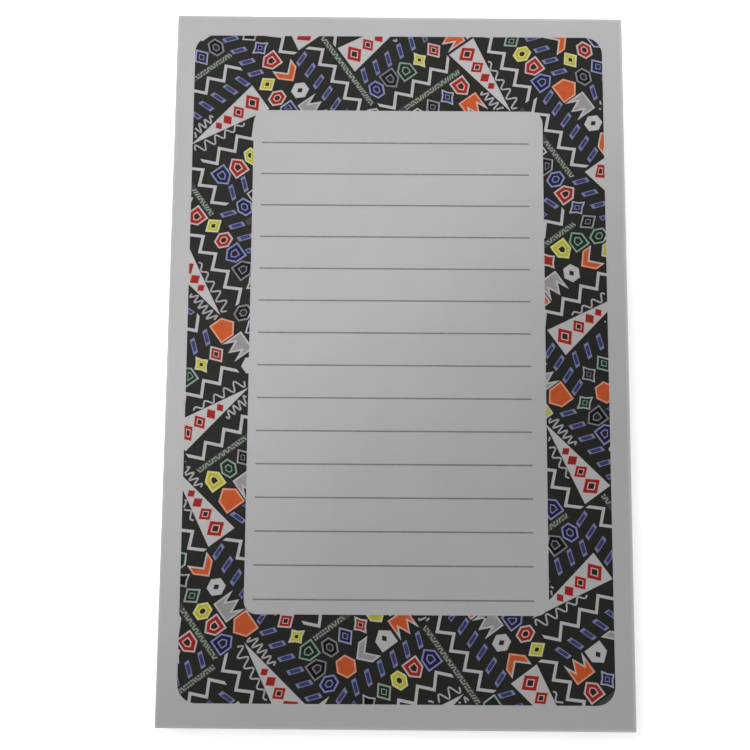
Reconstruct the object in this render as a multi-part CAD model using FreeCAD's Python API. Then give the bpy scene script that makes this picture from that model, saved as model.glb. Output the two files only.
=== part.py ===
import FreeCAD, Part
import math
import os

# A ruled note pad, glued along its head and lying on its back.
# X runs across the pad, Y up to the glued head, Z out of the printed face.
# All sizes are millimetres. The origin is under the middle of the pad.

# Paper, board and glue
sheet_width = 139.2
sheet_length = 215.9
leaf_count = 50
leaf_thickness = 0.1
leaves_in_lift = 5
lift_slip = 0.22
lift_slip_steps = (1.3, 0.9, 1.7)
board_thickness = 0.7
corner_wear = 0.35
glue_thickness = 0.3
glue_setback = 0.12
glue_round = 0.12

# Printed border, with the narrow error of a guillotined sheet
field_width = 127.2
field_length = 202.4
field_corner = 5.5
border_left = 18.8
border_right = 18.9
border_head = 24.1
border_foot = 25.3
panel_corner = 3.8
print_shift_x = -0.1
print_shift_y = 0.45
print_turn = 0.13
ink_thickness = 0.04

# Writing lines
first_rule_drop = 10.4
rule_pitch = 9.88
rule_thickness = 0.42
rule_inset_left = 2.6
rule_inset_right = 4.4

# Motifs of the border, laid as a slanted basket weave of lanes.
# The artwork has a size of its own, and is stretched to the field.
artwork_width = 127.2
artwork_length = 202.4
weave_tilt = 36.0
badge_height = 6.2
patch_height = 7.0
hatch_height = 4.4
zigzag_height = 5.0
strip_height = 1.8
lane_gap = 0.6
badge_gap = 0.35
hatch_gap = 3.0
key_line = 0.5
zigzag_stroke = 0.85
hatch_slant = 1.6
mark_share = 0.68
mark_slimness = 0.85
eaves_share = 0.14
waist_share = 0.3
smallest_print = 0.25

badges_in_row = 5
patches_in_row = 4
hatches_in_row = 6
marks_on_pennant = 4
zigzag_turns = 8

# Heights and places that follow
block_bottom = board_thickness
block_top = block_bottom + leaf_count * leaf_thickness
foot_y = -(sheet_length + glue_thickness) / 2
head_y = foot_y + sheet_length
sheet_middle_y = (foot_y + head_y) / 2

panel_left = -field_width / 2 + border_left
panel_right = field_width / 2 - border_right
panel_foot = -field_length / 2 + border_foot
panel_head = field_length / 2 - border_head

full_lanes = [badge_height, patch_height, hatch_height, zigzag_height, strip_height]
cell_side = sum(full_lanes) + len(full_lanes) * lane_gap
lanes_by_pennant = [hatch_height, zigzag_height, badge_height]
pennant_height = cell_side - sum(lanes_by_pennant) - (len(lanes_by_pennant) + 1) * lane_gap

up = FreeCAD.Vector(0, 0, 1)


def flat_polygon(points, frame):
    """A flat face through the given points, laid in a frame."""
    corners = [frame.multVec(FreeCAD.Vector(x, y, 0)) for x, y in points]
    return Part.Face(Part.makePolygon(corners + corners[:1]))


def rounded_rectangle(left, right, low, high, radius):
    """A flat face with four round corners."""
    half = radius * (1 - math.sqrt(0.5))
    corners = [
        ((left, low + radius), (left + half, low + half), (left + radius, low)),
        ((right - radius, low), (right - half, low + half), (right, low + radius)),
        ((right, high - radius), (right - half, high - half), (right - radius, high)),
        ((left + radius, high), (left + half, high - half), (left, high - radius)),
    ]
    edges = []
    for index, corner in enumerate(corners):
        start, middle, end = [FreeCAD.Vector(x, y, 0) for x, y in corner]
        following = FreeCAD.Vector(*corners[(index + 1) % 4][0], 0)
        edges.append(Part.Arc(start, middle, end).toShape())
        edges.append(Part.makeLine(end, following))
    return Part.Face(Part.Wire(edges))


def motif(points, frame):
    """A flat motif of the artwork, stretched with it to the printed field."""
    corners = [frame.multVec(FreeCAD.Vector(x, y, 0)) for x, y in points]
    wide = field_width / artwork_width
    long = field_length / artwork_length
    return flat_polygon([(corner.x * wide, corner.y * long) for corner in corners], FreeCAD.Placement())


def sheet_outline(left_inset, right_inset, foot_inset):
    """The cut outline of a leaf with blunted corners, drawn in from three of its edges."""
    left = -sheet_width / 2 + left_inset
    right = sheet_width / 2 - right_inset
    foot = foot_y + foot_inset
    points = [
        (left + corner_wear, foot),
        (right - corner_wear, foot),
        (right, foot + corner_wear),
        (right, head_y - corner_wear),
        (right - corner_wear, head_y),
        (left + corner_wear, head_y),
        (left, head_y - corner_wear),
        (left, foot + corner_wear),
    ]
    return flat_polygon(points, FreeCAD.Placement())


def backing_board():
    return sheet_outline(0, 0, 0).extrude(up * board_thickness)


def sheet_block():
    """All leaves as one solid, cut in lifts that slipped a little as they were trimmed."""
    lift_count = math.ceil(leaf_count / leaves_in_lift)
    lifts = []
    for index in range(lift_count):
        leaves_below = index * leaves_in_lift
        leaves = min(leaves_in_lift, leaf_count - leaves_below)
        from_top = lift_count - 1 - index
        insets = [lift_slip * math.sin(step * from_top) ** 2 for step in lift_slip_steps]
        lift = sheet_outline(*insets).extrude(up * leaves * leaf_thickness)
        lift.translate(up * (block_bottom + leaves_below * leaf_thickness))
        lifts.append(lift)
    return lifts[0].multiFuse(lifts[1:]).removeSplitter()


def padding_glue():
    """The film of padding glue that holds the head edges of leaves and board together."""
    width = sheet_width - 2 * corner_wear
    height = block_top - glue_setback
    corner = FreeCAD.Vector(-width / 2, head_y, 0)
    film = Part.makeBox(width, glue_thickness, height, corner)
    outer_y = head_y + glue_thickness
    outer = [edge for edge in film.Edges if edge.BoundBox.YMin > outer_y - glue_thickness / 2]
    return film.makeFillet(glue_round, outer)


def field_outline():
    """The dark border as a flat ring round the writing panel."""
    half_width = field_width / 2
    half_length = field_length / 2
    outside = rounded_rectangle(-half_width, half_width, -half_length, half_length, field_corner)
    inside = rounded_rectangle(panel_left, panel_right, panel_foot, panel_head, panel_corner)
    return outside.cut(inside)


def diamond(width, height):
    return [(0, -height / 2), (width / 2, 0), (0, height / 2), (-width / 2, 0)]


def house(width, height):
    return [
        (-width / 2, -height / 2),
        (width / 2, -height / 2),
        (width / 2, eaves_share * height),
        (0, height / 2),
        (-width / 2, eaves_share * height),
    ]


def hexagon(width, height):
    turns = [math.radians(60 * index) for index in range(6)]
    return [(width / 2 * math.cos(turn), height / 2 * math.sin(turn)) for turn in turns]


def shield(width, height):
    return [
        (0, -height / 2),
        (width / 2, -eaves_share * height),
        (width / 2, height / 2),
        (-width / 2, height / 2),
        (-width / 2, -eaves_share * height),
    ]


def spark(width, height):
    """A star of four points."""
    points = []
    for index in range(8):
        reach = waist_share if index % 2 else 0.5
        turn = math.radians(45 * index)
        points.append((width * reach * math.cos(turn), height * reach * math.sin(turn)))
    return points


def chevron(width, height):
    return [
        (-width / 2, -height / 2),
        (0, -height / 2),
        (width / 2, 0),
        (0, height / 2),
        (-width / 2, height / 2),
        (0, 0),
    ]


def crown(width, height):
    return [
        (-width / 2, -height / 2),
        (width / 2, -height / 2),
        (width / 2, height / 2),
        (width / 4, 0),
        (0, height / 2),
        (-width / 4, 0),
        (-width / 2, height / 2),
    ]


def zigzag(width, height, stroke):
    """A band that turns up and down along a lane."""
    count = zigzag_turns
    reach = (height - stroke) / 2
    run = width / count
    thick = stroke * math.hypot(run, 2 * reach) / run
    middle = []
    for index in range(count + 1):
        side = 1 if index % 2 else -1
        middle.append((-width / 2 + run * index, side * (reach - thick / 2 + stroke / 2)))
    lower = [(x, y - thick / 2) for x, y in middle]
    upper = [(x, y + thick / 2) for x, y in reversed(middle)]
    return lower + upper


def shifted(frame, x, y):
    return frame.multiply(FreeCAD.Placement(FreeCAD.Vector(x, y, 0), FreeCAD.Rotation()))


def add_outlined(border, colour, points, frame):
    """A motif with its own colour inside an edge of bare paper."""
    opening = motif(points, frame)
    middle = opening.makeOffset2D(-key_line, 2)
    if colour != "bare":
        border["bare"].append(opening)
    border[colour].append(middle)


def add_row(border, frame, shapes, colours, height, first):
    """A lane of outlined motifs, evenly spaced."""
    count = len(colours)
    pitch = cell_side / count
    for index in range(count):
        place = shifted(frame, (index + 0.5) * pitch - cell_side / 2, 0)
        shape = shapes[(index + first) % len(shapes)]
        colour = colours[(index + 2 * first) % count]
        add_outlined(border, colour, shape(pitch - badge_gap, height), place)


def add_badges(border, frame, height, cell_number):
    shapes = [diamond, hexagon, shield, house, spark]
    inks = ["yellow", "red", "navy", "black", "green"]
    colours = [inks[index % len(inks)] for index in range(badges_in_row)]
    add_row(border, frame, shapes, colours, height, cell_number)


def add_patches(border, frame, height, cell_number):
    shapes = [crown, shield, chevron, hexagon]
    inks = ["orange", "bare", "grey", "orange"]
    colours = [inks[index % len(inks)] for index in range(patches_in_row)]
    add_row(border, frame, shapes, colours, height, cell_number)


def add_hatches(border, frame, height, cell_number):
    """A lane of slanted blue bars."""
    pitch = cell_side / hatches_in_row
    half = (pitch - hatch_gap) / 2
    lean = hatch_slant / 2 if cell_number % 2 else -hatch_slant / 2
    bar = [
        (-half - lean, -height / 2),
        (half - lean, -height / 2),
        (half + lean, height / 2),
        (-half + lean, height / 2),
    ]
    for index in range(hatches_in_row):
        place = shifted(frame, (index + 0.5) * pitch - cell_side / 2, 0)
        border["blue"].append(motif(bar, place))


def add_zigzag(border, frame, height, cell_number):
    points = zigzag(cell_side - lane_gap, height, zigzag_stroke)
    border["bare"].append(motif(points, frame))


def add_strip(border, frame, height, cell_number):
    half = (cell_side - lane_gap) / 2
    strip = [(-half, -height / 2), (half, -height / 2), (half, height / 2), (-half, height / 2)]
    border["moss"].append(motif(strip, frame))


def add_pennant(border, frame, height, cell_number):
    """A bare pennant that carries red diamonds, each smaller than the last."""
    length = cell_side - 2 * lane_gap
    points = [(-length / 2, -height / 2), (length / 2, 0), (-length / 2, height / 2)]
    border["bare"].append(motif(points, frame))
    along = -length / 2 + key_line
    for index in range(marks_on_pennant):
        room = height * (length / 2 - along) / length
        mark_height = room * mark_share
        mark_width = mark_height * mark_slimness
        mark = diamond(mark_width, mark_height)
        border["red"].append(motif(mark, shifted(frame, along + mark_width / 2, 0)))
        along += mark_width + key_line


full_cell = [
    (add_badges, badge_height),
    (add_patches, patch_height),
    (add_hatches, hatch_height),
    (add_zigzag, zigzag_height),
    (add_strip, strip_height),
]
pennant_cell = [
    (add_hatches, hatch_height),
    (add_pennant, pennant_height),
    (add_zigzag, zigzag_height),
    (add_badges, badge_height),
]


def add_cell(border, column, row):
    """One square of the weave. Its lanes run across those of the next square."""
    slope = FreeCAD.Placement(FreeCAD.Vector(), FreeCAD.Rotation(up, weave_tilt))
    centre = FreeCAD.Vector(column * cell_side, row * cell_side, 0)
    quarter = (column + 2 * row) % 4
    cell = slope.multiply(FreeCAD.Placement(centre, FreeCAD.Rotation(up, 90 * quarter)))
    lanes = full_cell if (column + row) % 2 == 0 else pennant_cell
    cell_number = column + 3 * row
    across = -cell_side / 2
    for index in range(len(lanes)):
        draw, height = lanes[(index + cell_number) % len(lanes)]
        draw(border, shifted(cell, 0, across + (height + lane_gap) / 2), height, cell_number)
        across += height + lane_gap


def border_motifs():
    """The faces of every colour of the border, before they are trimmed to its outline."""
    colours = ["bare", "navy", "yellow", "black", "green", "red", "orange", "grey", "blue", "moss"]
    border = {colour: [] for colour in colours}
    reach = math.hypot(artwork_width, artwork_length) / 2 + cell_side
    steps = math.ceil(reach / cell_side)
    for column in range(-steps, steps + 1):
        for row in range(-steps, steps + 1):
            add_cell(border, column, row)
    return border


def reaches_border(face):
    """Whether a motif can lie on the dark field, and not wholly beside it or in the panel."""
    box = face.BoundBox
    beside = box.XMin > field_width / 2 or box.XMax < -field_width / 2
    beyond = box.YMin > field_length / 2 or box.YMax < -field_length / 2
    across_panel = box.XMin > panel_left and box.XMax < panel_right
    along_panel = box.YMin > panel_foot and box.YMax < panel_head
    return not (beside or beyond or (across_panel and along_panel))


def inked(faces, level):
    """Flat faces as thin ink on the sheet, set with the sheet's small printing error."""
    solids = []
    for face in faces:
        if face.Area < smallest_print:
            continue
        solid = face.extrude(up * ink_thickness)
        solid.rotate(FreeCAD.Vector(), up, print_turn)
        place = FreeCAD.Vector(print_shift_x, sheet_middle_y + print_shift_y, level)
        solid.translate(place)
        solids.append(solid)
    return Part.makeCompound(solids)


def printed_inks():
    """One compound for each ink: the dark field with its openings, and the colours in them."""
    ring = field_outline()
    border = {}
    for colour, faces in border_motifs().items():
        border[colour] = [face for face in faces if reaches_border(face)]
    inks = {"print_charcoal": inked(ring.cut(border.pop("bare")).Faces, block_top)}
    for colour, faces in border.items():
        on_charcoal = colour in ("blue", "moss")
        level = block_top + ink_thickness if on_charcoal else block_top
        trimmed = [piece for face in faces for piece in face.common(ring).Faces]
        inks["print_" + colour] = inked(trimmed, level)
    return inks


def ruled_lines():
    left = panel_left + rule_inset_left
    length = panel_right - rule_inset_right - left
    count = int((panel_head - first_rule_drop - panel_foot) / rule_pitch) + 1
    faces = []
    for index in range(count):
        middle = panel_head - first_rule_drop - index * rule_pitch
        corner = FreeCAD.Vector(left, middle - rule_thickness / 2, 0)
        faces.append(Part.makePlane(length, rule_thickness, corner))
    return inked(faces, block_top)


os.makedirs("parts", exist_ok=True)
pieces = {
    "backing_board": backing_board(),
    "sheet_block": sheet_block(),
    "padding_glue": padding_glue(),
    "ruled_lines": ruled_lines(),
}
pieces.update(printed_inks())
for name, shape in pieces.items():
    shape.exportStep("parts/" + name + ".step")
    print(name, len(shape.Solids), round(shape.Volume, 3), shape.isValid())
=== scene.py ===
import bpy
import bmesh
import math
from mathutils import Matrix, Vector


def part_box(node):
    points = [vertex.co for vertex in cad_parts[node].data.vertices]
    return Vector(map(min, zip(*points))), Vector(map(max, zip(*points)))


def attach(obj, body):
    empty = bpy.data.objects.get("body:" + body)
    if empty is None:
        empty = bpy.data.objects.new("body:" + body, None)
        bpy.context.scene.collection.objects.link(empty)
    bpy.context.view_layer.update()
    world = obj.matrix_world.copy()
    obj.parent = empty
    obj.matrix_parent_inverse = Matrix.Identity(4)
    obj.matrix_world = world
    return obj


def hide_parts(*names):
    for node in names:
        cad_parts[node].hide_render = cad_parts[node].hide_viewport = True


# Ruled note pad: printed face, cut leaves, glued head and greyboard back.
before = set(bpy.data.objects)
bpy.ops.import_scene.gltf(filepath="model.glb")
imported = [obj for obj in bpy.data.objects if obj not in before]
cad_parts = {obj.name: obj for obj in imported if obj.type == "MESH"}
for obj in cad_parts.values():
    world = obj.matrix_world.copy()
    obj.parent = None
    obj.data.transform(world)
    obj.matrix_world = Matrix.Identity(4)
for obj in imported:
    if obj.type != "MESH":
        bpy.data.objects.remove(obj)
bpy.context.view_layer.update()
mm = 0.001
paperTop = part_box("sheet_block")[1].z
inkDepth = 0.04 * mm             # one film of ink


def linearColour(hexColour):
    # sRGB hex to the linear colour that shaders take
    parts = [int(hexColour[i:i + 2], 16) / 255 for i in (1, 3, 5)]
    return [c / 12.92 if c <= 0.04045 else ((c + 0.055) / 1.055) ** 2.4 for c in parts] + [1.0]


def perMetre(size):
    # texture scale for a feature this many millimetres across
    return 1000 / size


def addNode(tree, kind, inputs=None, **settings):
    # adds a node, sets its properties, and links or fills its inputs
    node = tree.nodes.new(kind)
    for name, value in settings.items():
        setattr(node, name, value)
    for key, value in (inputs or {}).items():
        if isinstance(value, bpy.types.NodeSocket):
            tree.links.new(value, node.inputs[key])
        else:
            node.inputs[key].default_value = value
    return node


def newMaterial(name):
    # an empty material and its tree
    material = bpy.data.materials.new(name)
    material.use_nodes = True
    material.node_tree.nodes.clear()
    return material, material.node_tree


def newPiece(name, mesh, materials=()):
    # puts a mesh in the scene, at the origin, with its materials and body
    piece = bpy.data.objects.new(name, mesh)
    bpy.context.scene.collection.objects.link(piece)
    for material in materials:
        mesh.materials.append(material)
    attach(piece, "root")
    return piece


def dressNode(node, material):
    # gives a solid of the frame a material, its mesh left as it is
    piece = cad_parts[node]
    if not piece.material_slots:
        piece.data.materials.append(material)
    for place in piece.material_slots:
        place.material = material


def newTree(name, sockets):
    # starts a geometry tree with named inputs
    tree = bpy.data.node_groups.new(name, "GeometryNodeTree")
    tree.interface.new_socket("Geometry", in_out="OUTPUT", socket_type="NodeSocketGeometry")
    tree.interface.new_socket("Geometry", in_out="INPUT", socket_type="NodeSocketGeometry")
    for label, kind in sockets.items():
        tree.interface.new_socket(label, in_out="INPUT", socket_type="NodeSocket" + kind)
    return tree, addNode(tree, "NodeGroupInput").outputs


def endTree(tree, geometry, material):
    # makes the instances real and sets their material
    real = addNode(tree, "GeometryNodeRealizeInstances", {"Geometry": geometry})
    dressed = addNode(tree, "GeometryNodeSetMaterial", {"Geometry": real.outputs[0],
                                                        "Material": material})
    addNode(tree, "NodeGroupOutput", {"Geometry": dressed.outputs[0]})
    return tree


def grown(mesh, tree, values):
    # runs a tree on a mesh and gives the result back as a plain mesh
    carrier = bpy.data.objects.new("carrier", mesh)
    bpy.context.scene.collection.objects.link(carrier)
    modifier = carrier.modifiers.new("grow", "NODES")
    modifier.node_group = tree
    for item in tree.interface.items_tree:
        if item.in_out == "INPUT" and item.name in values:
            modifier[item.identifier] = values[item.name]
    evaluated = carrier.evaluated_get(bpy.context.evaluated_depsgraph_get())
    result = bpy.data.meshes.new_from_object(evaluated)
    carrier.modifiers.remove(modifier)
    bpy.data.objects.remove(carrier)
    return result


# Camera, floor and light, in metres unless a note says otherwise
studio = {
    "cameraPlace": (-6.74, -27.6, 245.4),      # mm
    "cameraTurn": (5.373, -0.023, 0.497),      # degrees
    "lens": 38.4,                              # mm
    "sensor": 36.0,                            # mm
    "nearClip": 0.01,
    "floorSize": 6.0,
    "floorColour": "#F2F2F2",
    "floorLift": 0.52,                         # what the floor adds for the lens alone
    "worldLevel": 0.47,
    "softPower": 9.8,                          # W
    "softPlace": (-0.8, 0.8, 1.1),
    "softSize": 1.0,
    "keyPower": 0.138,                         # W
    "keyHeight": 0.6,
    "keyEdge": 6.0,                            # mm from the middle to the edge of the key's pool
    "keyTurn": -41.0,                          # degrees, how that edge lies across the pad
    "keyDepth": 0.3,
    "keyLength": 0.5,
    "keySpread": 11.5,                         # degrees
}


def makeCamera():
    camera = bpy.data.objects.new("photoCamera", bpy.data.cameras.new("photoCamera"))
    camera.data.lens = studio["lens"]
    camera.data.sensor_width = studio["sensor"]
    camera.data.clip_start = studio["nearClip"]
    camera.location = Vector(studio["cameraPlace"]) * mm
    camera.rotation_euler = [math.radians(turn) for turn in studio["cameraTurn"]]
    bpy.context.scene.collection.objects.link(camera)
    bpy.context.scene.camera = camera


def studioTable():
    # Matte white lacquered table: to the lens it burns out to white, but it keeps a shadow
    material, tree = newMaterial("whiteLacqueredTable")
    seen = addNode(tree, "ShaderNodeLightPath").outputs
    direct = addNode(tree, "ShaderNodeMath", {0: seen["Is Camera Ray"], 1: seen["Is Glossy Ray"]},
                     operation="MAXIMUM")
    anyRay = addNode(tree, "ShaderNodeMath", {0: direct.outputs[0], 1: seen["Is Transmission Ray"]},
                     operation="MAXIMUM")
    lift = addNode(tree, "ShaderNodeMath", {0: anyRay.outputs[0], 1: studio["floorLift"]},
                   operation="MULTIPLY")
    glow = addNode(tree, "ShaderNodeEmission", {"Color": (1, 1, 1, 1), "Strength": lift.outputs[0]})
    matte = addNode(tree, "ShaderNodeBsdfDiffuse", {"Color": linearColour(studio["floorColour"])})
    both = addNode(tree, "ShaderNodeAddShader", {0: matte.outputs[0], 1: glow.outputs[0]})
    addNode(tree, "ShaderNodeOutputMaterial", {"Surface": both.outputs[0]})
    return material


def makeFloor():
    half = studio["floorSize"] / 2
    mesh = bpy.data.meshes.new("studioFloor")
    corners = [(-half, -half, 0), (half, -half, 0), (half, half, 0), (-half, half, 0)]
    mesh.from_pydata(corners, [], [(0, 1, 2, 3)])
    mesh.materials.append(studioTable())
    floor = bpy.data.objects.new("studioFloor", mesh)
    bpy.context.scene.collection.objects.link(floor)


def makeLamp(name, power, place, target, width, length=None, turn=0.0, spread=180.0):
    lamp = bpy.data.lights.new(name, "AREA")
    lamp.energy = power
    lamp.shape = "RECTANGLE"
    lamp.size = width
    lamp.size_y = length or width
    lamp.spread = math.radians(spread)
    holder = bpy.data.objects.new(name, lamp)
    aim = (Vector(target) - Vector(place)).to_track_quat("-Z", "Y")
    holder.rotation_euler = (aim.to_matrix() @ Matrix.Rotation(math.radians(turn), 3, "Z")).to_euler()
    holder.location = place
    bpy.context.scene.collection.objects.link(holder)


def makeLights():
    # an even, pale room that the lens sees as plain white, a softbox and a small key
    world = bpy.data.worlds.new("paleRoom")
    world.use_nodes = True
    tree = world.node_tree
    seen = addNode(tree, "ShaderNodeLightPath").outputs["Is Camera Ray"]
    level = addNode(tree, "ShaderNodeMapRange", {"Value": seen, "To Min": studio["worldLevel"],
                                                 "To Max": 1.0})
    tree.links.new(level.outputs["Result"], tree.nodes["Background"].inputs["Strength"])
    tree.nodes["Background"].inputs["Color"].default_value = (1, 1, 1, 1)
    bpy.context.scene.world = world
    makeLamp("windowSoftbox", studio["softPower"], studio["softPlace"], (0, 0, 0), studio["softSize"])
    # the gridded key hangs overhead, and its pool ends in a soft diagonal edge across the page
    turn = math.radians(studio["keyTurn"])
    inward = Vector((math.sin(turn), math.cos(turn), 0))
    middle = inward * (studio["keyDepth"] / 2 - studio["keyEdge"] * mm)
    above = middle + Vector((0, 0, studio["keyHeight"]))
    makeLamp("griddedKey", studio["keyPower"], above, middle, studio["keyLength"], studio["keyDepth"],
             -studio["keyTurn"], studio["keySpread"])


makeCamera()
makeFloor()
makeLights()
bpy.context.scene.view_settings.view_transform = "Standard"
print("studio ready")


# Block of leaves, in mm
paper = {
    "leaves": 50,
    "leafThickness": 0.1,
    "leafGap": 0.008,
    "leafInset": 0.005,          # keeps the leaves inside the block that they stand for
    "slip": 0.2,                 # how far a leaf may lie out of line
    "cornerWear": 0.35,
    "burrWidth": 1.0,
    "burrCorner": 0.05,
    "burrLift": 0.05,
    # painted highlight on the top leaf's burred edge, as a share of the paper's colour
    "burrPaintedHighlight": 0.32,
    "burrElsewhere": 0.4,        # of the burr on the right
    "colour": "#B9B8BA",
    "cloudColour": "#B6B5B6",
    "cloudSize": 22.0,
    "darkestEdge": 0.9,          # of the paper's colour
    "topTone": 0.65,
    "toothSize": 0.35,
    "toothDepth": 0.02,
    "waveSize": 45.0,
    "waveDepth": 0.5,
    "roughness": 0.78,
    "seed": 7,
}


def offsetPaper():
    # Uncoated offset paper, calendered: matte, with a fine tooth and a faint cloud from uneven fibre, and
    # a painted highlight on the top leaf's burred edge.
    # Its tooth is drawn a few times as coarse as the real one, to show at all.
    material, tree = newMaterial("uncoatedOffsetPaper")
    place = addNode(tree, "ShaderNodeTexCoord").outputs["Object"]
    cloud = addNode(tree, "ShaderNodeTexNoise", {"Vector": place, "Scale": perMetre(paper["cloudSize"]),
                                                 "Detail": 5.0, "Roughness": 0.6})
    clear = addNode(tree, "ShaderNodeMapRange", {"Value": cloud.outputs["Fac"], "From Min": 0.3,
                                                 "From Max": 0.65})
    colour = addNode(tree, "ShaderNodeMix", {
        0: clear.outputs["Result"], 6: linearColour(paper["cloudColour"]),
        7: linearColour(paper["colour"])}, data_type="RGBA")
    # each leaf's cut edge is a touch lighter or darker than the next
    leafTone = addNode(tree, "ShaderNodeAttribute", attribute_name="leafTone")
    shade = addNode(tree, "ShaderNodeMapRange", {"Value": leafTone.outputs["Fac"],
                                                 "To Min": paper["darkestEdge"], "To Max": 1.0})
    # painted highlight: the top leaf's burred edge is painted paler, standing in for the light that its
    # turned-up edge catches
    burrAndHighlight = addNode(tree, "ShaderNodeAttribute", attribute_name="burrAndHighlight")
    glow = addNode(tree, "ShaderNodeMath", {0: burrAndHighlight.outputs["Fac"], 1: paper["burrPaintedHighlight"],
                                            2: shade.outputs["Result"]}, operation="MULTIPLY_ADD")
    toned = addNode(tree, "ShaderNodeVectorMath", {0: colour.outputs[2], "Scale": glow.outputs[0]},
                    operation="SCALE")
    tooth = addNode(tree, "ShaderNodeTexNoise", {"Vector": place, "Scale": perMetre(paper["toothSize"]),
                                                 "Detail": 3.0, "Roughness": 0.7})
    wave = addNode(tree, "ShaderNodeTexNoise", {"Vector": place, "Scale": perMetre(paper["waveSize"]),
                                                "Detail": 1.0})
    fine = addNode(tree, "ShaderNodeBump", {"Height": tooth.outputs["Fac"], "Strength": 0.25,
                                            "Distance": paper["toothDepth"] * mm})
    broad = addNode(tree, "ShaderNodeBump", {"Height": wave.outputs["Fac"], "Strength": 0.6,
                                             "Distance": paper["waveDepth"] * mm,
                                             "Normal": fine.outputs["Normal"]})
    skin = addNode(tree, "ShaderNodeBsdfPrincipled", {
        "Base Color": toned.outputs[0], "Roughness": paper["roughness"], "Specular IOR Level": 0.3,
        "IOR": 1.5, "Normal": broad.outputs["Normal"]})
    addNode(tree, "ShaderNodeOutputMaterial", {"Surface": skin.outputs[0]})
    return material


def leafOutline(low, high, inset, blunt, z):
    # a leaf's outline with blunted corners, its head edge on y = 0 before it is drawn in
    right = (high.x - low.x) / 2 - inset * mm
    left = -right
    head = -inset * mm
    foot = low.y - high.y + inset * mm
    cut = blunt * mm
    outline = [(left + cut, foot), (right - cut, foot), (right, foot + cut), (right, head - cut),
               (right - cut, head), (left + cut, head), (left, head - cut), (left, foot + cut)]
    return [(x, y, z) for x, y in outline]


def closedMesh(name, loops):
    # skins a row of loops of equally many points and closes both ends
    places = [place for loop in loops for place in loop]
    count = len(loops[0])
    faces = [tuple(reversed(range(count))), tuple(range(len(places) - count, len(places)))]
    for start in range(0, len(places) - count, count):
        for i in range(count):
            j = (i + 1) % count
            faces.append((start + i, start + j, start + count + j, start + count + i))
    mesh = bpy.data.meshes.new(name)
    mesh.from_pydata(places, [], faces)
    return mesh


def leafMesh(low, high):
    # one leaf: a thin slab, its underside on z = 0
    top = (paper["leafThickness"] - paper["leafGap"]) * mm
    loops = [leafOutline(low, high, paper["leafInset"], paper["cornerWear"], z) for z in (0.0, top)]
    return closedMesh("leaf", loops)


def topLeafMesh(low, high):
    # the top leaf, whose cut edge turns up in a fine burr, most of all on the right; the same share also
    # masks a painted highlight on that edge
    lift = (paper["leafThickness"] - paper["leafGap"]) * mm
    loops = [leafOutline(low, high, paper["leafInset"], paper["cornerWear"], 0.0),
             leafOutline(low, high, paper["leafInset"], paper["cornerWear"], lift),
             leafOutline(low, high, paper["burrWidth"], paper["burrCorner"], lift)]
    mesh = closedMesh("topLeaf", loops)
    burrAndHighlight = mesh.attributes.new("burrAndHighlight", "FLOAT", "POINT")
    tone = mesh.attributes.new("leafTone", "FLOAT", "POINT")
    count = len(loops[0])
    onRight = (high.x - low.x) / 2 - 0.5 * paper["burrWidth"] * mm
    for index, vertex in enumerate(mesh.vertices):
        tone.data[index].value = paper["topTone"]
        if count <= index < 2 * count:
            burrAndHighlight.data[index].value = 1.0 if vertex.co.x > onRight else paper["burrElsewhere"]
            vertex.co.z += paper["burrLift"] * mm * burrAndHighlight.data[index].value
    return mesh


def leafStackTree():
    # stacks copies of a leaf, each slipped a little, flush at the glued head
    tree, given = newTree("leafStack", {
        "Leaves": "Int", "Pitch": "Float", "Slip": "Float", "Width": "Float", "Length": "Float",
        "Seed": "Int", "Paper": "Material"})
    climb = addNode(tree, "ShaderNodeCombineXYZ", {"Z": given["Pitch"]})
    rungs = addNode(tree, "GeometryNodeMeshLine", {"Count": given["Leaves"], "Offset": climb.outputs[0]})
    stack = addNode(tree, "GeometryNodeInstanceOnPoints", {"Points": rungs.outputs[0],
                                                           "Instance": given["Geometry"]})
    side = addNode(tree, "FunctionNodeRandomValue", {2: -1.0, 3: 1.0, "Seed": given["Seed"]},
                   data_type="FLOAT")
    nextSeed = addNode(tree, "ShaderNodeMath", {0: given["Seed"], 1: 1.0}, operation="ADD")
    foot = addNode(tree, "FunctionNodeRandomValue", {"Seed": nextSeed.outputs[0]}, data_type="FLOAT")
    narrow = addNode(tree, "ShaderNodeMath", {0: given["Slip"], 1: given["Width"]}, operation="DIVIDE")
    shrinkX = addNode(tree, "ShaderNodeMath", {0: narrow.outputs[0], 1: -2.0, 2: 1.0},
                      operation="MULTIPLY_ADD")
    short = addNode(tree, "ShaderNodeMath", {0: given["Slip"], 1: given["Length"]}, operation="DIVIDE")
    shortNow = addNode(tree, "ShaderNodeMath", {0: short.outputs[0], 1: foot.outputs[1]},
                       operation="MULTIPLY")
    shrinkY = addNode(tree, "ShaderNodeMath", {0: 1.0, 1: shortNow.outputs[0]}, operation="SUBTRACT")
    shrink = addNode(tree, "ShaderNodeCombineXYZ", {"X": shrinkX.outputs[0], "Y": shrinkY.outputs[0],
                                                    "Z": 1.0})
    sized = addNode(tree, "GeometryNodeScaleInstances", {"Instances": stack.outputs[0],
                                                         "Scale": shrink.outputs[0]})
    push = addNode(tree, "ShaderNodeMath", {0: given["Slip"], 1: side.outputs[1]}, operation="MULTIPLY")
    aside = addNode(tree, "ShaderNodeCombineXYZ", {"X": push.outputs[0]})
    moved = addNode(tree, "GeometryNodeTranslateInstances", {"Instances": sized.outputs[0],
                                                             "Translation": aside.outputs[0]})
    tone = addNode(tree, "GeometryNodeStoreNamedAttribute", {
        "Geometry": moved.outputs[0], "Name": "leafTone", "Value": foot.outputs[1]},
        data_type="FLOAT", domain="INSTANCE")
    return endTree(tree, tone.outputs[0], given["Paper"])


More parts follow.
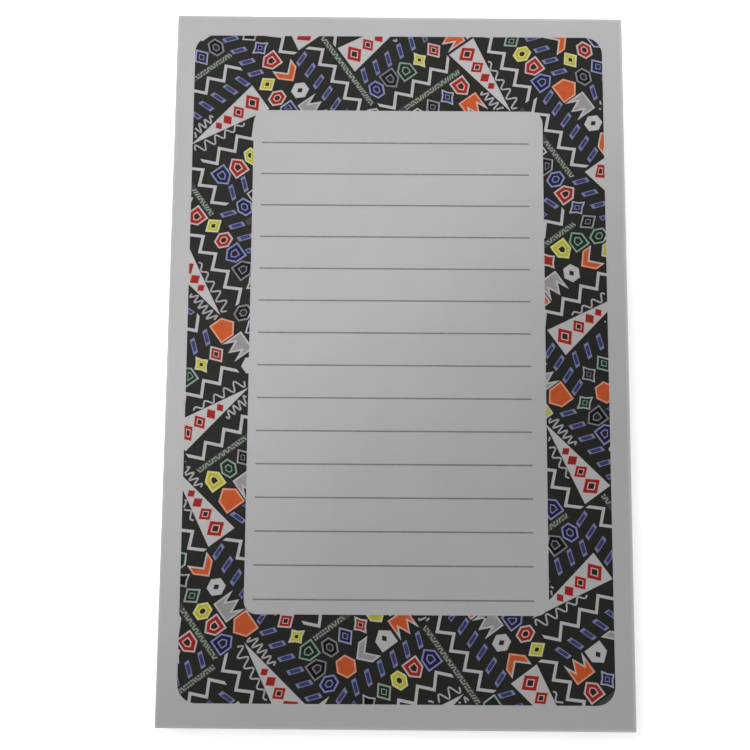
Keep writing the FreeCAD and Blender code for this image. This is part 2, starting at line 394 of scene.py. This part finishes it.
def makeLeafStack():
    # the block of loose leaves, with the printed leaf on top as a piece of its own
    low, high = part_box("sheet_block")
    skin = offsetPaper()
    below = paper["leaves"] - 1
    stack = grown(leafMesh(low, high), leafStackTree(), {
        "Leaves": below, "Pitch": paper["leafThickness"] * mm, "Slip": paper["slip"] * mm,
        "Width": high.x - low.x, "Length": high.y - low.y, "Seed": paper["seed"], "Paper": skin})
    foot = Vector(((low.x + high.x) / 2, high.y, low.z + paper["leafGap"] * mm))
    stack.transform(Matrix.Translation(foot))
    piece = newPiece("leafStack", stack)
    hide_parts("sheet_block")
    top = topLeafMesh(low, high)
    top.transform(Matrix.Translation(foot + Vector((0, 0, below * paper["leafThickness"] * mm))))
    newPiece("topLeaf", top, [skin])


# Backing board, in mm
board = {
    "colour": "#A39A8C",
    "mottleColour": "#8F8678",
    "paleFibre": "#BDB5A8",
    "darkFibre": "#6E6558",
    "mottleSize": 1.3,
    "mottleDepth": 0.05,
    "fibreLength": 1.9,
    "fibreWidth": 0.14,
    "paleTurn": 0.45,            # radians, how the fibres lie
    "darkTurn": -0.9,
    "speckPitch": 1.6,
    "roughness": 0.9,
}


def fibreMarks(tree, place, turn):
    # short thin streaks that lie one way
    stretch = addNode(tree, "ShaderNodeMapping", {
        "Vector": place, "Rotation": (0.0, 0.0, turn),
        "Scale": (board["fibreWidth"] * mm, board["fibreLength"] * mm, board["fibreWidth"] * mm)},
        vector_type="TEXTURE")
    noise = addNode(tree, "ShaderNodeTexNoise", {"Vector": stretch.outputs[0], "Scale": 1.0, "Detail": 1.0,
                                                 "Distortion": 0.4})
    return addNode(tree, "ShaderNodeMapRange", {"Value": noise.outputs["Fac"], "From Min": 0.6,
                                                "From Max": 0.72}).outputs["Result"]


def greyboard():
    # Greyboard pressed from waste paper: dull and mottled, with fibres and specks of other shades in it
    material, tree = newMaterial("pressedGreyboard")
    place = addNode(tree, "ShaderNodeTexCoord").outputs["Object"]
    mottle = addNode(tree, "ShaderNodeTexNoise", {"Vector": place, "Scale": perMetre(board["mottleSize"]),
                                                  "Detail": 6.0, "Roughness": 0.7})
    pulp = addNode(tree, "ShaderNodeMapRange", {"Value": mottle.outputs["Fac"], "From Min": 0.35,
                                                "From Max": 0.65})
    specks = addNode(tree, "ShaderNodeTexVoronoi", {"Vector": place,
                                                    "Scale": perMetre(board["speckPitch"])})
    few = addNode(tree, "ShaderNodeMapRange", {"Value": specks.outputs["Distance"], "From Min": 0.07,
                                               "From Max": 0.14, "To Min": 0.7, "To Max": 0.0})
    colour = linearColour(board["mottleColour"])
    for share, over in ((pulp.outputs["Result"], "colour"),
                        (fibreMarks(tree, place, board["paleTurn"]), "paleFibre"),
                        (fibreMarks(tree, place, board["darkTurn"]), "darkFibre"),
                        (few.outputs["Result"], "darkFibre")):
        layer = addNode(tree, "ShaderNodeMix", {0: share, 6: colour, 7: linearColour(board[over])},
                        data_type="RGBA")
        colour = layer.outputs[2]
    relief = addNode(tree, "ShaderNodeBump", {"Height": mottle.outputs["Fac"], "Strength": 0.5,
                                              "Distance": board["mottleDepth"] * mm})
    skin = addNode(tree, "ShaderNodeBsdfPrincipled", {
        "Base Color": colour, "Roughness": board["roughness"], "Specular IOR Level": 0.2,
        "Normal": relief.outputs[0]})
    addNode(tree, "ShaderNodeOutputMaterial", {"Surface": skin.outputs[0]})
    return material


# Film of glue on the head, in mm
glue = {
    "colour": "#D8D5CE",
    "thinColour": "#C6C3BF",
    "strokeLength": 26.0,
    "strokeWidth": 0.7,
    "strokeDepth": 0.08,
    "roughness": 0.42,
    "ripple": 0.1,               # of the film's depth
    "strokesDown": 9.0,          # radians over the depth of the pad
    "strokesAcross": 31.0,       # radians over its width
    "sway": 2.2,
    "rimDown": 14.0,             # how fast the film gains its depth from the rim
    "rimAcross": 90.0,
    "rimDepth": 0.25,            # what it has there
    "columns": 240,
    "rows": 14,
}


def paddingGlue():
    # White padding glue, brushed on and dried: a rubbery film with long brush strokes and a low sheen
    material, tree = newMaterial("driedPaddingGlue")
    place = addNode(tree, "ShaderNodeTexCoord").outputs["Object"]
    stretch = addNode(tree, "ShaderNodeMapping", {
        "Vector": place, "Scale": (perMetre(glue["strokeLength"]), perMetre(glue["strokeWidth"]),
                                   perMetre(glue["strokeWidth"]))})
    strokes = addNode(tree, "ShaderNodeTexNoise", {"Vector": stretch.outputs[0], "Scale": 1.0,
                                                   "Detail": 3.0})
    thick = addNode(tree, "ShaderNodeMapRange", {"Value": strokes.outputs["Fac"], "From Min": 0.35,
                                                 "From Max": 0.6})
    colour = addNode(tree, "ShaderNodeMix", {
        0: thick.outputs["Result"], 6: linearColour(glue["thinColour"]),
        7: linearColour(glue["colour"])}, data_type="RGBA")
    relief = addNode(tree, "ShaderNodeBump", {"Height": strokes.outputs["Fac"], "Strength": 0.6,
                                              "Distance": glue["strokeDepth"] * mm})
    skin = addNode(tree, "ShaderNodeBsdfPrincipled", {
        "Base Color": colour.outputs[2], "Roughness": glue["roughness"], "IOR": 1.47,
        "Normal": relief.outputs[0]})
    addNode(tree, "ShaderNodeOutputMaterial", {"Surface": skin.outputs[0]})
    return material


def makeGlueFilm():
    # a closed film whose outer face ripples along the brush strokes and thins out towards its rim
    low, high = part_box("padding_glue")
    columns, rows = glue["columns"], glue["rows"]
    shape = bmesh.new()
    outer, inner = [], []
    for row in range(rows + 1):
        v = row / rows
        outerRow, innerRow = [], []
        for column in range(columns + 1):
            u = column / columns
            x = low.x + (high.x - low.x) * u
            z = low.z + (high.z - low.z) * v
            down = glue["strokesDown"] * v + glue["sway"] * math.sin(5.0 * u)
            stroke = math.sin(down) * math.sin(glue["strokesAcross"] * u + 4.0 * v)
            rim = min(1.0, glue["rimDown"] * min(v, 1 - v), glue["rimAcross"] * min(u, 1 - u))
            cover = glue["rimDepth"] + (1 - glue["rimDepth"]) * rim
            depth = (high.y - low.y) * (1 - glue["ripple"] * (1 + stroke)) * cover
            outerRow.append(shape.verts.new((x, low.y + depth, z)))
            innerRow.append(shape.verts.new((x, low.y, z)))
        outer.append(outerRow)
        inner.append(innerRow)
    for row in range(rows):
        for column in range(columns):
            shape.faces.new([outer[row + a][column + b] for a, b in ((0, 0), (1, 0), (1, 1), (0, 1))])
            shape.faces.new([inner[row + a][column + b] for a, b in ((0, 0), (0, 1), (1, 1), (1, 0))])
    for column in range(columns):
        for row in (0, rows):
            shape.faces.new([outer[row][column], outer[row][column + 1],
                             inner[row][column + 1], inner[row][column]])
    for row in range(rows):
        for column in (0, columns):
            shape.faces.new([outer[row][column], outer[row + 1][column],
                             inner[row + 1][column], inner[row][column]])
    bmesh.ops.recalc_face_normals(shape, faces=shape.faces)
    for face in shape.faces:
        face.smooth = abs(face.normal.y) > 0.7
    mesh = bpy.data.meshes.new("glueFilm")
    shape.to_mesh(mesh)
    shape.free()
    piece = newPiece("glueFilm", mesh, [paddingGlue()])
    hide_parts("padding_glue")


makeLeafStack()
dressNode("backing_board", greyboard())
makeGlueFilm()
print("paper, board and glue ready")


# Printed inks, and the paler tint that rings each motif
inkColours = {
    "charcoal": "#252522",
    "navy": "#191A48",
    "yellow": "#B0AD3C",
    "black": "#0C0B0E",
    "green": "#0F2B19",
    "red": "#96231F",
    "orange": "#BC552A",
    "grey": "#928F90",
}
tintColours = {
    "navy": "#8386AE",
    "yellow": "#CECA80",
    "black": "#7B7A80",
    "green": "#84998B",
    "red": "#D0A59F",
    "orange": "#D4947D",
    "grey": "#B7B4B6",
}
ink = {
    "mottleSize": 1.6,           # mm
    "mottleDepth": 0.12,         # share of the colour
    "ruleMottle": 0.2,
    "roughness": 0.62,
    "ruleColour": "#7B7B7E",
}


def offsetInk(name, hexColour, mottle=None):
    # Offset ink sunk into uncoated paper: dead matte, slightly uneven where the fibre drinks more of it
    material, tree = newMaterial(name + "OffsetInk")
    place = addNode(tree, "ShaderNodeTexCoord").outputs["Object"]
    uneven = addNode(tree, "ShaderNodeTexNoise", {"Vector": place, "Scale": perMetre(ink["mottleSize"]),
                                                  "Detail": 6.0, "Roughness": 0.7})
    depth = ink["mottleDepth"] if mottle is None else mottle
    level = addNode(tree, "ShaderNodeMapRange", {"Value": uneven.outputs["Fac"], "From Min": 0.3,
                                                 "From Max": 0.7, "To Min": 1 - depth,
                                                 "To Max": 1 + depth})
    colour = addNode(tree, "ShaderNodeVectorMath", {0: linearColour(hexColour)[:3],
                                                    "Scale": level.outputs["Result"]}, operation="SCALE")
    tooth = addNode(tree, "ShaderNodeTexNoise", {"Vector": place, "Scale": perMetre(paper["toothSize"]),
                                                 "Detail": 3.0, "Roughness": 0.7})
    relief = addNode(tree, "ShaderNodeBump", {"Height": tooth.outputs["Fac"], "Strength": 0.2,
                                              "Distance": paper["toothDepth"] * mm})
    skin = addNode(tree, "ShaderNodeBsdfPrincipled", {
        "Base Color": colour.outputs[0], "Roughness": ink["roughness"], "Specular IOR Level": 0.12,
        "Normal": relief.outputs[0]})
    addNode(tree, "ShaderNodeOutputMaterial", {"Surface": skin.outputs[0]})
    return material


def topFaces(node, leastArea=0.0):
    # the upper faces of an ink node, merged into one flat face for each printed shape
    shape = bmesh.new()
    shape.from_mesh(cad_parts[node].data)
    bmesh.ops.remove_doubles(shape, verts=shape.verts, dist=0.002 * mm)
    sides = [face for face in shape.faces if face.normal.z < 0.9]
    bmesh.ops.delete(shape, geom=sides, context="FACES")
    bmesh.ops.dissolve_limit(shape, angle_limit=0.01, verts=shape.verts, edges=shape.edges)
    small = [face for face in shape.faces if face.calc_area() < leastArea * mm * mm]
    bmesh.ops.delete(shape, geom=small, context="FACES")
    mesh = bpy.data.meshes.new(node + "Top")
    shape.to_mesh(mesh)
    shape.free()
    return mesh


# Layout of the printed border in mm, to keep what is added on it
layout = {
    "shift": (-0.1, 0.3),
    "turn": 0.13,                # degrees
    "field": (-63.6, -101.2, 63.6, 101.2),     # left, foot, right, head
    "fieldCorner": 5.5,
    "panel": (-44.8, -75.9, 44.7, 77.1),
    "panelCorner": 3.8,
    "tilt": 36.0,                # degrees, the slant of the weave of square cells
    "cell": 27.4,
    "laneGap": 0.6,
    "reach": 6,                  # cells each way from the middle, enough to cover the field
    "pennantLanes": (4.4, 9.4, 5.0, 6.2),
    "pennantLane": 1,
    "fullLanes": (6.2, 7.0, 4.4, 5.0, 1.8),
    "patchLane": 1,
    "patches": 4,
}
printPlace = (Matrix.Translation((layout["shift"][0] * mm, layout["shift"][1] * mm, 0))
              @ Matrix.Rotation(math.radians(layout["turn"]), 4, "Z"))


def pulledInto(x, y, box, corner):
    # the nearest place inside a box with round corners, all in mm
    left, foot, right, head = box
    x = min(max(x, left), right)
    y = min(max(y, foot), head)
    middleX = min(max(x, left + corner), right - corner)
    middleY = min(max(y, foot + corner), head - corner)
    reach = math.hypot(x - middleX, y - middleY)
    if reach > corner:
        x = middleX + (x - middleX) * corner / reach
        y = middleY + (y - middleY) * corner / reach
    return x, y


def onBorder(x, y, margin):
    # whether a place lies on the dark field, at least the margin away from its edges
    left, foot, right, head = layout["field"]
    inner = (left + margin, foot + margin, right - margin, head - margin)
    nearX, nearY = pulledInto(x, y, inner, layout["fieldCorner"])
    panel = layout["panel"]
    hole = (panel[0] - margin, panel[1] - margin, panel[2] + margin, panel[3] + margin)
    holeX, holeY = pulledInto(x, y, hole, layout["panelCorner"] + margin)
    return math.hypot(nearX - x, nearY - y) < 1e-6 and math.hypot(holeX - x, holeY - y) > 1e-6


def keptOnBorder(mesh):
    # pulls what sticks out past the printed field, or into the writing panel, back to its edge
    back = printPlace.inverted()
    left, foot, right, head = layout["panel"]
    for vertex in mesh.vertices:
        place = back @ vertex.co
        x, y = pulledInto(place.x / mm, place.y / mm, layout["field"], layout["fieldCorner"])
        if left < x < right and foot < y < head:
            ways = [(x - left, left, y), (right - x, right, y), (y - foot, x, foot), (head - y, x, head)]
            way, x, y = min(ways)
        vertex.co = printPlace @ Vector((x * mm, y * mm, place.z))
    return mesh


def patchTree():
    # scales each flat shape about its own middle, lays it at a height and makes it a thin film
    tree, given = newTree("inkPatch", {"Scale": "Float", "Height": "Float", "Depth": "Float",
                                       "Ink": "Material"})
    scaled = addNode(tree, "GeometryNodeScaleElements", {"Geometry": given["Geometry"],
                                                         "Scale": given["Scale"]}, domain="FACE")
    place = addNode(tree, "GeometryNodeInputPosition")
    apart = addNode(tree, "ShaderNodeSeparateXYZ", {"Vector": place.outputs[0]})
    level = addNode(tree, "ShaderNodeCombineXYZ", {"X": apart.outputs["X"], "Y": apart.outputs["Y"],
                                                   "Z": given["Height"]})
    laid = addNode(tree, "GeometryNodeSetPosition", {"Geometry": scaled.outputs[0],
                                                     "Position": level.outputs[0]})
    rise = addNode(tree, "ShaderNodeCombineXYZ", {"Z": given["Depth"]})
    raised = addNode(tree, "GeometryNodeExtrudeMesh", {
        "Mesh": laid.outputs[0], "Offset": rise.outputs[0], "Offset Scale": 1.0, "Individual": False},
        mode="FACES")
    under = addNode(tree, "GeometryNodeFlipFaces", {"Mesh": laid.outputs[0]})
    whole = addNode(tree, "GeometryNodeJoinGeometry", {"Geometry": raised.outputs[0]})
    tree.links.new(under.outputs[0], whole.inputs["Geometry"])
    closed = addNode(tree, "GeometryNodeMergeByDistance", {"Geometry": whole.outputs[0], "Distance": 1e-7})
    return endTree(tree, closed.outputs[0], given["Ink"])


inkPatch = patchTree()


def makePatches(name, shapes, scale, height, depth, material):
    # height and depth in films of ink above the paper
    mesh = grown(shapes, inkPatch, {"Scale": scale, "Height": paperTop + height * inkDepth,
                                    "Depth": depth * inkDepth, "Ink": material})
    return newPiece(name, keptOnBorder(mesh))


# What is added to the printed motifs, as shares of a motif's size and in films of ink
motifs = {
    "tintSpread": 1.24,
    "redSpread": 1.1,            # less, as red marks stand close together
    "tintDepth": 0.3,
    "rimShare": 0.56,
    "coreShare": 0.4,
    "counterDepth": 0.25,
    "leastBadge": 6.5,           # mm2, the smallest motif with a dark core
    "coreless": ("orange", "grey"),
    "hatchEdge": "#777BA0",
    "hatchCore": "#373B66",
    "hatchShare": 0.66,
}


def dressInks():
    # inks of the frame's own solids, then a pale ring round each motif and a dark core in the badges
    for colour, hexColour in inkColours.items():
        dressNode("print_" + colour, offsetInk(colour, hexColour))
    dressNode("ruled_lines", offsetInk("greyRule", ink["ruleColour"], ink["ruleMottle"]))
    dark = offsetInk("counterCharcoal", inkColours["charcoal"])
    for colour, hexColour in tintColours.items():
        tint = offsetInk(colour + "Tint", hexColour)
        spread = motifs["redSpread"] if colour == "red" else motifs["tintSpread"]
        makePatches("tint_" + colour, topFaces("print_" + colour), spread, 0.0,
                    motifs["tintDepth"], tint)
        if colour in motifs["coreless"]:
            continue
        badges = topFaces("print_" + colour, motifs["leastBadge"])
        depth = motifs["counterDepth"]
        makePatches("counterRim_" + colour, badges, motifs["rimShare"], 1.0, depth, tint)
        makePatches("counter_" + colour, badges, motifs["coreShare"], 1.0 + depth, depth,
                    dark)


def makeHatch():
    # slanted bars of a pale blue, each with a darker core
    pale = offsetInk("lilac", motifs["hatchEdge"])
    deep = offsetInk("blue", motifs["hatchCore"])
    edges = makePatches("hatchEdges", topFaces("print_blue"), 1.0, 1.0, 0.5, pale)
    makePatches("hatchCores", topFaces("print_blue"), motifs["hatchShare"], 1.5, 0.45, deep)
    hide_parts("print_blue")


# Braid on the grey-green strips, in mm
braid = {
    "pitch": 0.8,
    "height": 1.45,
    "stroke": 0.36,
    "lift": 1.7,                 # films of ink above the paper
    "depth": 0.55,               # films of ink
    "endRoom": 0.4,              # of the pitch
    "leastLength": 2.0,
    "blockShare": (1.5, 0.3, 1.0),             # of a bar's width, height and depth
    "blockShift": 0.3,           # of the height
    "lean": 24.0,                # degrees
    "seed": 3,
    "colour": "#8E978C",
    "ground": "#3F453E",
}


def stripLines():
    # the middle line of each grey-green strip, as far as the strip keeps its full width
    strips = topFaces("print_moss")
    ends, edges = [], []
    for polygon in strips.polygons:
        corners = [strips.vertices[i].co.to_2d() for i in polygon.vertices]
        sides = [corners[i] - corners[i - 1] for i in range(len(corners))]
        along = max(sides, key=lambda side: side.length).normalized()
        across = Vector((-along.y, along.x))
        places = [(corner.dot(along), corner.dot(across)) for corner in corners]
        lowest = min(v for u, v in places)
        highest = max(v for u, v in places)
        middle = (lowest + highest) / 2
        upper = [u for u, v in places if v > middle + 0.7 * (highest - middle)]
        lower = [u for u, v in places if v < middle - 0.7 * (middle - lowest)]
        start = max(min(upper), min(lower)) + braid["endRoom"] * braid["pitch"] * mm
        end = min(max(upper), max(lower)) - braid["endRoom"] * braid["pitch"] * mm
        if end - start < braid["leastLength"] * mm or highest - lowest < braid["height"] * mm:
            continue
        edges.append((len(ends), len(ends) + 1))
        for u in (start, end):
            ends.append((*(along * u + across * middle), paperTop + braid["lift"] * inkDepth))
    mesh = bpy.data.meshes.new("stripLines")
    mesh.from_pydata(ends, edges, [])
    return mesh


def braidTree():
    # sets bars of two slants and pairs of blocks in a row along each line, picked at random
    tree, given = newTree("mossBraid", {
        "Pitch": "Float", "Height": "Float", "Stroke": "Float", "Depth": "Float", "Lean": "Float",
        "Seed": "Int", "Ink": "Material"})
    tall = addNode(tree, "ShaderNodeCombineXYZ", {"X": given["Stroke"], "Y": given["Height"],
                                                  "Z": given["Depth"]})
    bar = addNode(tree, "GeometryNodeMeshCube", {"Size": tall.outputs[0]})
    marks = addNode(tree, "GeometryNodeGeometryToInstance")
    for side in (1.0, -1.0):
        slant = addNode(tree, "ShaderNodeMath", {0: given["Lean"], 1: side}, operation="MULTIPLY")
        turn = addNode(tree, "ShaderNodeCombineXYZ", {"Z": slant.outputs[0]})
        leaning = addNode(tree, "GeometryNodeTransform", {"Geometry": bar.outputs[0],
                                                          "Rotation": turn.outputs[0]})
        tree.links.new(leaning.outputs[0], marks.inputs["Geometry"])
    low = addNode(tree, "ShaderNodeVectorMath", {0: tall.outputs[0], 1: braid["blockShare"]},
                  operation="MULTIPLY")
    block = addNode(tree, "GeometryNodeMeshCube", {"Size": low.outputs[0]})
    pair = addNode(tree, "GeometryNodeJoinGeometry")
    for side in (braid["blockShift"], -braid["blockShift"]):
        shift = addNode(tree, "ShaderNodeMath", {0: given["Height"], 1: side}, operation="MULTIPLY")
        move = addNode(tree, "ShaderNodeCombineXYZ", {"Y": shift.outputs[0]})
        placed = addNode(tree, "GeometryNodeTransform", {"Geometry": block.outputs[0],
                                                         "Translation": move.outputs[0]})
        tree.links.new(placed.outputs[0], pair.inputs["Geometry"])
    tree.links.new(pair.outputs[0], marks.inputs["Geometry"])
    curve = addNode(tree, "GeometryNodeMeshToCurve", {"Mesh": given["Geometry"]})
    spread = addNode(tree, "GeometryNodeCurveToPoints", {"Curve": curve.outputs[0],
                                                         "Length": given["Pitch"]}, mode="LENGTH")
    pick = addNode(tree, "FunctionNodeRandomValue", {4: 0, 5: 2, "Seed": given["Seed"]}, data_type="INT")
    aligned = addNode(tree, "FunctionNodeAlignRotationToVector", {"Vector": spread.outputs["Tangent"]},
                      axis="X")
    row = addNode(tree, "GeometryNodeInstanceOnPoints", {
        "Points": spread.outputs["Points"], "Instance": marks.outputs[0], "Pick Instance": True,
        "Instance Index": pick.outputs[2], "Rotation": aligned.outputs[0]})
    return endTree(tree, row.outputs[0], given["Ink"])


def makeBraid():
    # grey-green strips: a dim ground with a braid of paler marks on it
    ground = offsetInk("dimMoss", braid["ground"])
    strips = makePatches("mossStrips", topFaces("print_moss"), 1.0, 1.0, 0.4, ground)
    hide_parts("print_moss")
    pale = offsetInk("paleMoss", braid["colour"])
    mesh = grown(stripLines(), braidTree(), {
        "Pitch": braid["pitch"] * mm, "Height": braid["height"] * mm, "Stroke": braid["stroke"] * mm,
        "Depth": braid["depth"] * inkDepth, "Lean": math.radians(braid["lean"]), "Seed": braid["seed"],
        "Ink": pale})
    newPiece("mossBraid", mesh)


# Waves and seeds between the motifs
waves = {
    "turns": 5,
    "pointsPerTurn": 16,
    "start": (0.34, 0.6),        # of the pennant's length, on its two sides
    "roomShare": 0.34,           # height of a wave, of the dark room beside the pennant
    "stroke": 0.5,               # mm
    "lift": 1.25,                # films of ink above the paper
    "depth": 0.5,                # films of ink
    "colour": "#ACAAAD",
    "seedWidth": 1.7,
    "seedHeight": 2.1,
}


def weaveFrames(lanes, wanted, odd):
    # where one lane lies in every other cell of the weave, as matrices in mm on the print
    cell = layout["cell"]
    slope = Matrix.Rotation(math.radians(layout["tilt"]), 4, "Z")
    frames = []
    reach = range(-layout["reach"], layout["reach"] + 1)
    for column in reach:
        for row in reach:
            if (column + row) % 2 != odd:
                continue
            number = column + 3 * row
            across = -cell / 2
            for index in range(len(lanes)):
                lane = (index + number) % len(lanes)
                height = lanes[lane] + layout["laneGap"]
                if lane == wanted:
                    middle = across + height / 2
                across += height
            centre = Matrix.Translation((column * cell, row * cell, 0))
            turned = Matrix.Rotation(math.radians(90 * ((column + 2 * row) % 4)), 4, "Z")
            frames.append((number, slope @ centre @ turned @ Matrix.Translation((0, middle, 0))))
    return frames


def wavePaths():
    # a wave in the two dark corners beside each pennant, growing with the room there
    lanes = layout["pennantLanes"]
    length = layout["cell"] - 2 * layout["laneGap"]
    height = lanes[layout["pennantLane"]]
    count = waves["turns"] * waves["pointsPerTurn"]
    places, edges = [], []
    for number, pennant in weaveFrames(lanes, layout["pennantLane"], 1):
        for side, start in zip((1, -1), waves["start"]):
            before = None
            for step in range(count + 1):
                share = start + (1 - start) * step / count
                room = height / 2 * share
                turn = 2 * math.pi * step / waves["pointsPerTurn"]
                y = side * (height / 2 - room / 2 + waves["roomShare"] * room * math.sin(turn))
                place = pennant @ Vector((-length / 2 + length * share, y, 0))
                if not onBorder(place.x, place.y, waves["stroke"]):
                    before = None
                    continue
                flat = printPlace @ (place * mm)
                places.append((flat.x, flat.y, paperTop + waves["lift"] * inkDepth))
                if before is not None:
                    edges.append((before, len(places) - 1))
                before = len(places) - 1
    mesh = bpy.data.meshes.new("wavePaths")
    mesh.from_pydata(places, edges, [])
    return mesh


def seedShapes():
    # a dark diamond in the middle of each bare shield and hexagon
    count = layout["patches"]
    pitch = layout["cell"] / count
    half = Vector((waves["seedWidth"] / 2, waves["seedHeight"] / 2))
    places, faces = [], []
    for number, lane in weaveFrames(layout["fullLanes"], layout["patchLane"], 0):
        index = (1 - 2 * number) % count
        middle = lane @ Vector(((index + 0.5) * pitch - layout["cell"] / 2, 0, 0))
        if number % 2 or not onBorder(middle.x, middle.y, waves["seedHeight"]):
            continue
        faces.append(tuple(range(len(places), len(places) + 4)))
        for x, y in ((0, -half.y), (half.x, 0), (0, half.y), (-half.x, 0)):
            corner = lane.to_3x3() @ Vector((x, y, 0))
            places.append(printPlace @ ((middle + corner) * mm))
    mesh = bpy.data.meshes.new("seedShapes")
    mesh.from_pydata(places, [], faces)
    return mesh


def strokeTree():
    # sweeps a flat ribbon of ink along the paths
    tree, given = newTree("inkStroke", {"Stroke": "Float", "Depth": "Float", "Ink": "Material"})
    curve = addNode(tree, "GeometryNodeMeshToCurve", {"Mesh": given["Geometry"]})
    upright = addNode(tree, "GeometryNodeSetCurveNormal", {"Curve": curve.outputs[0]}, mode="Z_UP")
    section = addNode(tree, "GeometryNodeCurvePrimitiveQuadrilateral", {"Width": given["Stroke"],
                                                                       "Height": given["Depth"]})
    ribbon = addNode(tree, "GeometryNodeCurveToMesh", {
        "Curve": upright.outputs[0], "Profile Curve": section.outputs[0], "Fill Caps": True})
    return endTree(tree, ribbon.outputs[0], given["Ink"])


def makeWaves():
    # strokes left bare in the dark print, so that the paper shows through
    bare = offsetInk("knockedOut", waves["colour"])
    mesh = grown(wavePaths(), strokeTree(), {
        "Stroke": waves["stroke"] * mm, "Depth": waves["depth"] * inkDepth, "Ink": bare})
    newPiece("bareWaves", mesh)
    seedInk = offsetInk("seed", inkColours["charcoal"])
    makePatches("seeds", seedShapes(), 1.0, 0.0, 1.0, seedInk)


dressInks()
makeHatch()
makeBraid()
makeWaves()
print("inks ready")
